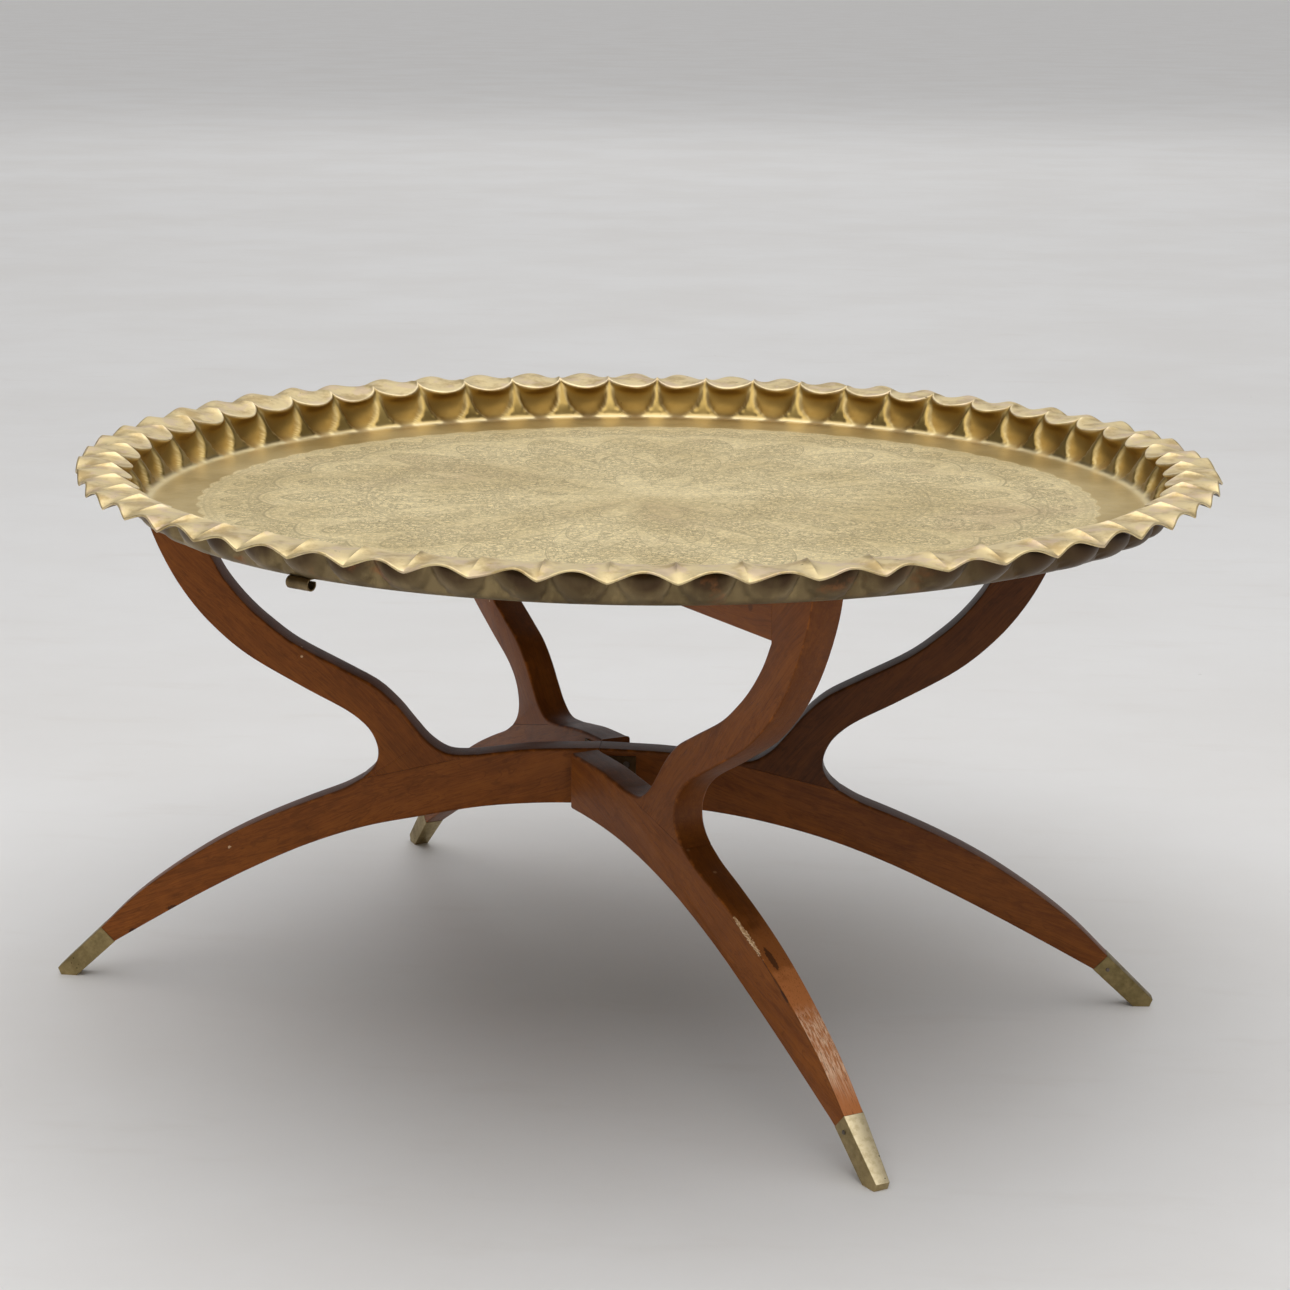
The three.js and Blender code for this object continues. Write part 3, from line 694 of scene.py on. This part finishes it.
    # field colour
    stain = n.noise(n.where, 5.0, 5, 0.62)
    matt = n.mix(n.steps(cloud, 0.35, 0.65), (0.98, 0.83, 0.485), (0.80, 0.65, 0.34))
    matt = n.mix(n.times(n.steps(stain, 0.54, 0.70), 0.40), matt, (0.52, 0.35, 0.19))
    matt = n.mix(n.times(n.steps(fine, 0.45, 0.62), 0.22), matt, (0.44, 0.35, 0.17))
    matt = n.mix(n.times(lines, 0.74), matt, (0.22, 0.16, 0.065))
    colour = n.mix(field, plain, matt)
    speck = n.spots(170, (0.13, 0.05), 30, 3, (0.60, 0.68))
    pits = n.times(n.steps(n.cells(n.place((1, 2.2, 1)), 44), 0.075, 0.045),
                  n.times(n.steps(z, 0.020, 0.028), n.steps(n.noise(n.where, 13, 2), 0.50, 0.56)))
    speck = n.math("MAXIMUM", speck, pits)
    colour = n.mix(n.times(speck, 0.8), colour, (0.05, 0.035, 0.015))
    dull = n.math("ADD", n.times(fine, 0.20), n.times(n.attribute("hollow"), 0.20))
    dull = n.math("ADD", dull, n.times(n.attribute("rim"), 0.10))
    dull = n.math("ADD", dull, n.steps(z, 0.0035, 0.0010, 0.0, 0.08))
    rough = n.blend(field, n.math("ADD", dull, 0.26),
                    n.math("ADD", n.times(fine, 0.2), 0.44))
    rough = n.math("ADD", rough, n.times(speck, 0.3), clamp=True)
    height = n.math("ADD", n.times(lines, -1.0), n.times(fine, 0.25))
    normal = n.bump(height, 0.45, 0.0006)
    dents = n.noise(n.where, 42, 3, 0.5)
    normal = n.bump(dents, 0.22, 0.002, normal)
    metal = n.blend(field, n.steps(n.attribute("rim"), 0.0, 1.0, 0.98, 0.90), 0.78)
    return n.set(Base_Color=colour, Metallic=metal, Roughness=rough, Normal=normal)


def tray_under():
    """The outside of the tray: dark olive brown, painted shadow in the cups under the lip, painted shade
    towards the right front, coppery stains and a few green specks.
    """
    n = Nodes("tray_outside")
    cloud = n.noise(n.where, 14, 6, 0.62)
    streak = n.noise(n.place((40, 40, 8)), 2.0, 5, 0.6)
    colour = n.mix(n.steps(cloud, 0.35, 0.68), (0.265, 0.195, 0.095), (0.15, 0.105, 0.048))
    colour = n.mix(n.times(n.steps(streak, 0.48, 0.68), 0.5), colour, (0.40, 0.30, 0.14))
    # painted shadow: the cups under the lip darkened
    lip_shadow = n.times(n.attribute("lip_shadow"), n.steps(n.noise(n.where, 30, 4), 0.2, 0.6, 0.6, 1))
    colour = n.mix(n.times(lip_shadow, 0.9), colour, (0.055, 0.028, 0.014))
    copper = n.steps(n.noise(n.where, 22, 5, 0.7), 0.56, 0.70)
    colour = n.mix(n.times(copper, 0.6), colour, (0.36, 0.14, 0.05))
    # painted shade: the outside darker towards the right front
    to_right = n.add("VectorMath", {0: n.where, 1: (0.86, -0.51, 0)}, out=1, operation="DOT_PRODUCT")
    right_front_shade = n.steps(to_right, 0.32, 0.42)
    colour = n.mix(n.times(right_front_shade, 0.9), colour, (0.070, 0.040, 0.018))
    green = n.spots(34, (0.10, 0.05), 12, 2, (0.56, 0.62))
    colour = n.mix(green, colour, (0.16, 0.26, 0.17))
    rough = n.math("ADD", n.times(cloud, 0.3), 0.32)
    return n.set(Base_Color=colour, Metallic=0.85, Roughness=rough,
                 Normal=n.bump(n.noise(n.where, 120, 5, 0.6), 0.35, 0.0006))


# ---------------------------------------------------------------- build

FOOT_SLOPE = -48.0  # degrees, the outer part of a leg
# damage on single boards, in each board's own frame
MARKS = {
    "front_leg": {
        "scar": True,
        "chips": [((286, -11.7, 148.4), (9, 1.5, 1.5), -27), ((297, -11.4, 142.9), (11, 2.1, 2.1), -28),
                  ((308, -11.1, 137.3), (10, 1.7, 1.5), -29)],
        "bruises": [((333, -11.0, 122.6), (24, 1.5, 0.5), -31), ((352, -10.6, 110.5), (7, 1.6, 1.4), -32),
                    ((322, -4, 131), (12, 2.6, 4), -30)],
    },
    "main_leg_left": {"bruises": [((366, 12, 64), (9, 6, 4), 0), ((404, 11, 43), (5, 5, 2.5), 0)],
                      "chips": [((318, 13, 122), (2, 2, 2.4), 0)]},
    "main_leg_right": {"chips": [((322, -13, 110), (1.6, 2, 2.4), 0)]},
}


def wood_for(name, angle, dark, light, seed):
    return wood("wood_" + name, dark, light, angle, seed, **MARKS.get(name, {}))


# the wood's dark and light colour, and each board's painted light and shade against it: darker copies for
# boards in shade, lighter ones for lit boards
RED = ((0.200, 0.055, 0.0080), (0.330, 0.100, 0.0140))
BOARD_LIGHT_AND_SHADE = {"main_leg_right": 0.74, "main_arm_right": 0.40, "main_arm_left": 0.98, "front_leg": 1.06,
         "rear_leg": 0.95, "rear_arm": 1.05, "rear_top_rail": 0.6}

cap_brass = brass("cap_brass", (0.42, 0.32, 0.15), (0.19, 0.14, 0.062), 0.32, 0.7, 0.9)
# painted shade: the right foot's cap is a darker copy of the brass, as the right leg is
shaded_cap = brass("shaded_cap_brass", (0.31, 0.235, 0.105), (0.13, 0.095, 0.04), 0.36, 0.75, 0.9)
eye_brass = brass("eye_brass", (0.26, 0.185, 0.09), (0.10, 0.07, 0.035), 0.38, 0.8, 0.5)
front_cap = brass("front_cap_brass", (0.47, 0.36, 0.175), (0.22, 0.165, 0.075), 0.32, 0.7, 0.9, rubbed=0.95)
MAIN_NAMES = {"leg": "main_leg_%s", "arm": "main_arm_%s", "cap": "foot_cap_%s"}
HALF_NAMES = {"leg": "%s_leg", "arm": "%s_arm", "rail": "%s_top_rail", "cap": "foot_cap_%s"}
GRAIN = {"leg": (-20, 0.1), "arm": (46, 3.3), "rail": (0, 5.7)}  # degrees from level, seed
CAP_ROUND = 0.9
CAP_PROUD = 0.25  # the cap stands this far out of its CAD shape
CAPS = {"front": front_cap, "right": shaded_cap, "left": cap_brass, "rear": cap_brass}
# painted shade: the hinge's brass is darkened nearly to the dark of the gap at the hub
hinge_brass = brass("hinge_brass", (0.13, 0.078, 0.036), (0.06, 0.038, 0.02), 0.45, 0.8)
steel = brass("old_steel", (0.20, 0.17, 0.14), (0.09, 0.07, 0.05), 0.45, 0.7)

to_hub = Matrix.Translation((HUB[0] * MM, HUB[1] * MM, 0))


def turn(degrees):
    return Matrix.Rotation(math.radians(degrees), 4, "Z")


def place_half(side, body, pieces, matrix, seed):
    """Builds one side's boards and cap and puts each in its CAD node's place."""
    for kind, pattern in (MAIN_NAMES if body == "main_frame" else HALF_NAMES).items():
        name = pattern % side
        if kind == "cap":
            item = board(name + "_brass", pieces[kind], CAPS[side], True, CAP_ROUND, CAP_PROUD, 4)
        else:
            angle, own_seed = GRAIN[kind]
            # each board's colours darkened or lightened by its painted light and shade
            tone = [shade(colour, BOARD_LIGHT_AND_SHADE.get(name, 1.0)) for colour in RED]
            material = wood_for(name, angle, *tone, seed + own_seed)
            item = board(name + "_board", pieces[kind], material, kind == "leg")
        item.matrix_world = matrix
        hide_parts(name)
        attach(item, body)


for number, (side, degrees) in enumerate((("right", 0), ("left", 180))):
    pieces = half_pieces(side, GAP / 2)
    place_half(side, "main_frame", pieces, to_hub @ turn(degrees), number * 11.0)
rail_end = RAIL_END - GAP
main_rail = [(-rail_end, RAIL_LOW, True), (rail_end, RAIL_LOW, False), (rail_end, RAIL_TOP, True),
             (-rail_end, RAIL_TOP, False)]
rail = board("main_top_rail_board", main_rail, wood_for("main_top_rail", 0, *RED, 40.0))
rail.matrix_world = to_hub
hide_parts("main_top_rail")
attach(rail, "main_frame")

OPEN_GAP = 1.0  # between a half frame's inner end and the main frame when it stands square
START = BOARD / 2 + OPEN_GAP
for number, (side, degrees) in enumerate((("front", 0), ("rear", 180))):
    pieces = half_pieces(side, START)
    pivot = Matrix.Translation((AXIS[0] * MM, AXIS[1] * MM, 0))
    back = Matrix.Translation((AXIS[1] * MM, AXIS[1] * MM, 0))
    matrix = to_hub @ turn(degrees) @ pivot @ turn(FOLD[side] - 90) @ back
    place_half(side, side + "_half_frame", pieces, matrix, 23.0 + number * 9.0)

for name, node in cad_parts.items():
    if "screw" in name or "pin" in name or "nail" in name:
        finish = steel
    elif "leaf" in name:
        finish = hinge_brass
    elif name == "hanging_eye":
        finish = eye_brass
    else:
        continue
    node.data.materials.clear()
    node.data.materials.append(finish)

tray = tray_object(tray_top(), tray_under())
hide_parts("tray")
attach(tray, "tray")

# ---------------------------------------------------------------- stage, light, camera

floor_nodes = Nodes("studio_floor")
dust = floor_nodes.noise(floor_nodes.where, 1.6, 6, 0.62)
swept = floor_nodes.noise(floor_nodes.place((3, 11, 1), (0, 0, 12)), 1.6, 5, 0.62)
floor_colour = floor_nodes.mix(floor_nodes.steps(dust, 0.3, 0.7), (0.775, 0.758, 0.735), (0.815, 0.805, 0.79))
floor_colour = floor_nodes.mix(floor_nodes.times(floor_nodes.steps(swept, 0.54, 0.74), 0.22),
                               floor_colour, (0.70, 0.665, 0.625))
spots = floor_nodes.spots(14, (0.045, 0.02), 5, 2, (0.58, 0.64))
floor_colour = floor_nodes.mix(floor_nodes.times(spots, 0.35), floor_colour, (0.42, 0.39, 0.36))
floor_nodes.set(Base_Color=floor_colour, Roughness=0.55, Specular_IOR_Level=0.3)
FLOOR_HALF = 400.0  # metres, so that its edge meets the sky at the horizon
corners = [(x * FLOOR_HALF, y * FLOOR_HALF, 0) for x, y in ((-1, -1), (1, -1), (1, 1), (-1, 1))]
ground = new_object("studio_ground", corners, [(0, 1, 2, 3)], floor_nodes.material, smooth=False)

world = bpy.data.worlds.new("studio")
bpy.context.scene.world = world
world.use_nodes = True
sky = world.node_tree.nodes
link_sky = world.node_tree.links.new
towards = sky.new("ShaderNodeSeparateXYZ")
shades = sky.new("ShaderNodeValToRGB")
link_sky(sky.new("ShaderNodeTexCoord").outputs["Generated"], towards.inputs[0])
link_sky(towards.outputs[2], shades.inputs[0])
# brightness of the room at the sine of the height over the horizon
SKY = ((0.0, (0.485, 0.485, 0.49)), (0.32, (0.485, 0.485, 0.49)), (0.37, (0.04, 0.04, 0.042)),
       (0.68, (0.04, 0.04, 0.042)), (0.73, (1.07, 1.07, 1.08)))
set_stops(shades, SKY)


def sky_range(value, low, high, to_low, to_high):
    node = sky.new("ShaderNodeMapRange")
    node.interpolation_type = "SMOOTHSTEP"
    link_sky(value, node.inputs[0])
    for socket, number in zip(list(node.inputs)[1:5], (low, high, to_low, to_high)):
        socket.default_value = number
    return node.outputs[0]


def sky_math(operation, *values):
    node = sky.new("ShaderNodeMath")
    node.operation = operation
    for value, socket in zip(values, node.inputs):
        link_sky(value, socket)
    return node.outputs[0]


# the room is dimmer to the sides and brighter in front of the table
sideways = sky_math("ABSOLUTE", towards.outputs[0])
beside = sky_range(sideways, 0.45, 0.95, 1.0, 0.45)
ahead = sky_range(towards.outputs[1], -0.9, -0.2, 1.6, 1.0)
strength = sky_math("MULTIPLY", beside, ahead)
# but even along the horizon, where it meets the floor
raised = sky_range(towards.outputs[2], 0.05, 0.15, 0.0, 1.0)
strength = sky_math("POWER", strength, raised)
link_sky(shades.outputs[0], sky["Background"].inputs[0])
link_sky(strength, sky["Background"].inputs[1])


def area_light(name, energy, size, location, target, colour=(1, 1, 1)):
    data = bpy.data.lights.new(name, "AREA")
    data.energy = energy
    data.shape = "RECTANGLE"
    data.size, data.size_y = size
    data.color = colour
    item = bpy.data.objects.new(name, data)
    bpy.context.scene.collection.objects.link(item)
    item.location = location
    item.rotation_euler = (Vector(target) - Vector(location)).to_track_quat("-Z", "Y").to_euler()


COOL = (0.97, 0.985, 1.0)
# name, watts, size, place and aim in metres
area_light("softbox_top", 21, (3, 3), (0, 0, 3), (0, 0, 0))
area_light("softbox_ceiling", 14, (8, 8), (0, 0, 7), (0, 0, 0))
area_light("softbox_front", 17, (3, 2), (0, -2.4, 3), (0, 0, 0))
area_light("softbox_right", 6, (2, 3), (2.6, 0, 2.6), (0, 0, 0))
area_light("softbox_left", 2, (2, 3), (-2.6, 0, 2.6), (0, 0, 0))
area_light("backdrop_near", 23.5, (4, 3), (0, 5, 4), (0, 5, 0), COOL)
area_light("backdrop_far", 81, (8, 4), (0, 11, 5), (0, 11, 0), COOL)

# the camera, solved from the photo: the tray's ellipse and the feet on one floor
CAMERA_PLACE = (0.1683, -2.3417, 0.8586)
CAMERA_TURN = (3.573, 76.824, 0.00795)  # heading and tilt in degrees, roll in radians
CAMERA_LENS = 80.65
camera_data = bpy.data.cameras.new("camera")
camera = bpy.data.objects.new("camera", camera_data)
bpy.context.scene.collection.objects.link(camera)
camera_data.sensor_width = 36.0
camera_data.lens = CAMERA_LENS
heading, tilt, roll = CAMERA_TURN
camera.matrix_world = (Matrix.Translation(CAMERA_PLACE) @ Matrix.Rotation(math.radians(heading), 4, "Z")
                       @ Matrix.Rotation(math.radians(tilt), 4, "X") @ Matrix.Rotation(roll, 4, "Z"))
bpy.context.scene.camera = camera
bpy.context.scene.view_settings.view_transform = "Standard"
